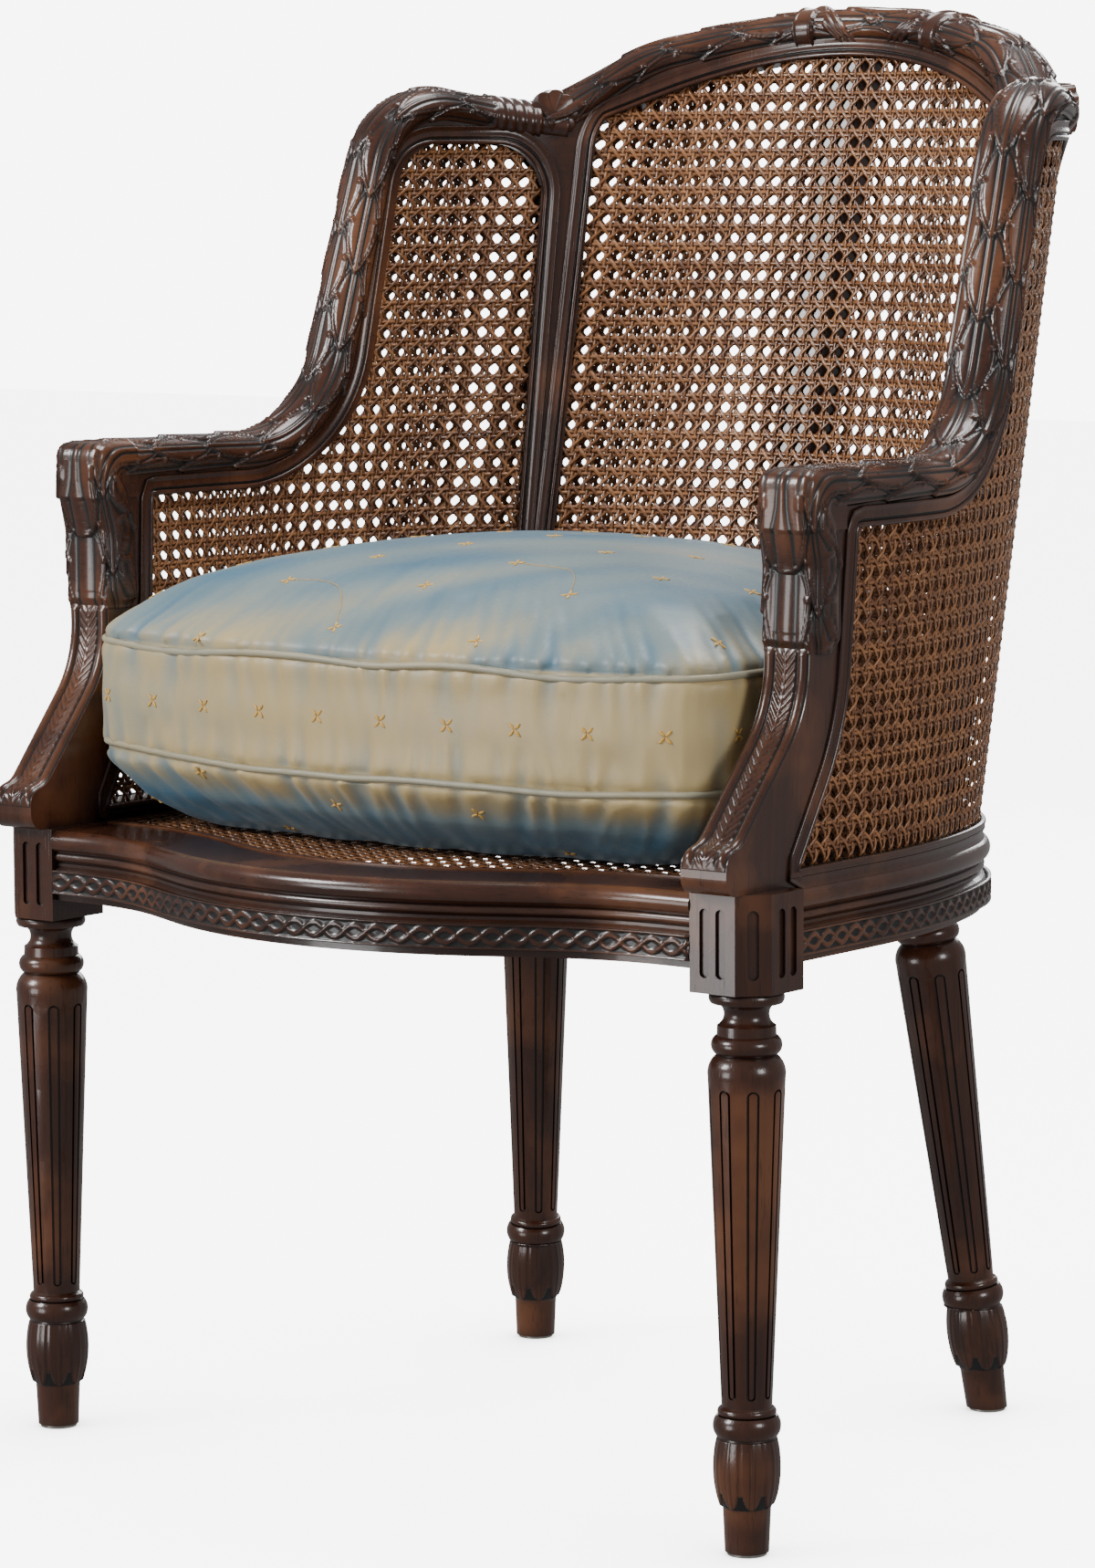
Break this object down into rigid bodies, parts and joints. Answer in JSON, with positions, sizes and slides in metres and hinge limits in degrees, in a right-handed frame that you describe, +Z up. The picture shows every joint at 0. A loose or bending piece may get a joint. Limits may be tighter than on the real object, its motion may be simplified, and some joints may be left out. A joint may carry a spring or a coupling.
{
  "type": "bergere chair",
  "caption": "Tub shaped caned armchair on four turned legs, with carved show-wood arms, wings and crest and a loose boxed seat cushion.",
  "frame": {"origin": "floor point under the middle of the chair's overall width and depth", "axes": "+Z up, -Y towards the front of the chair, +X to the right when seen from the front"},
  "size_m": [0.626, 0.6592, 0.9603],
  "materials": {
    "mahogany": "gloss",
    "cane": "satin",
    "beech": "matt",
    "screw_steel": "satin",
    "glide": "matt",
    "silk": "satin",
    "filling": "matt"
  },
  "bodies": {
    "frame": {"front_left_leg": "mahogany", "front_right_leg": "mahogany", "rear_left_leg": "mahogany", "rear_right_leg": "mahogany", "front_seat_rail": "mahogany", "left_seat_rail": "mahogany", "right_seat_rail": "mahogany", "back_seat_rail": "mahogany", "front_corner_blocks": "beech", "rear_corner_blocks": "beech", "corner_block_screws": "screw_steel", "rail_dowels": "beech", "rear_leg_dowels": "beech", "post_dowels": "beech", "stile_dowels": "beech", "crest_dowels": "beech", "foot_glides": "glide", "right_arm_rail": "mahogany", "right_arm_post": "mahogany", "right_stile": "mahogany", "left_arm_rail": "mahogany", "left_arm_post": "mahogany", "left_stile": "mahogany", "crest_rail": "mahogany", "back_brace": "mahogany", "inner_cane_right": "cane", "inner_cane_left": "cane", "inner_cane_back": "cane", "outer_cane_right": "cane", "outer_cane_left": "cane", "outer_cane_back": "cane", "seat_cane": "cane", "seat_binder": "cane"},
    "cushion": {"cushion_filling": "filling", "cushion_cover": "silk", "cushion_lower_welt": "silk", "cushion_upper_welt": "silk"}
  },
  "joints": [
    {"name": "cushion_lift", "type": "slide", "parent": "frame", "child": "cushion", "axis": [0, 0, 1], "range_m": [0, 0.3]}
  ]
}
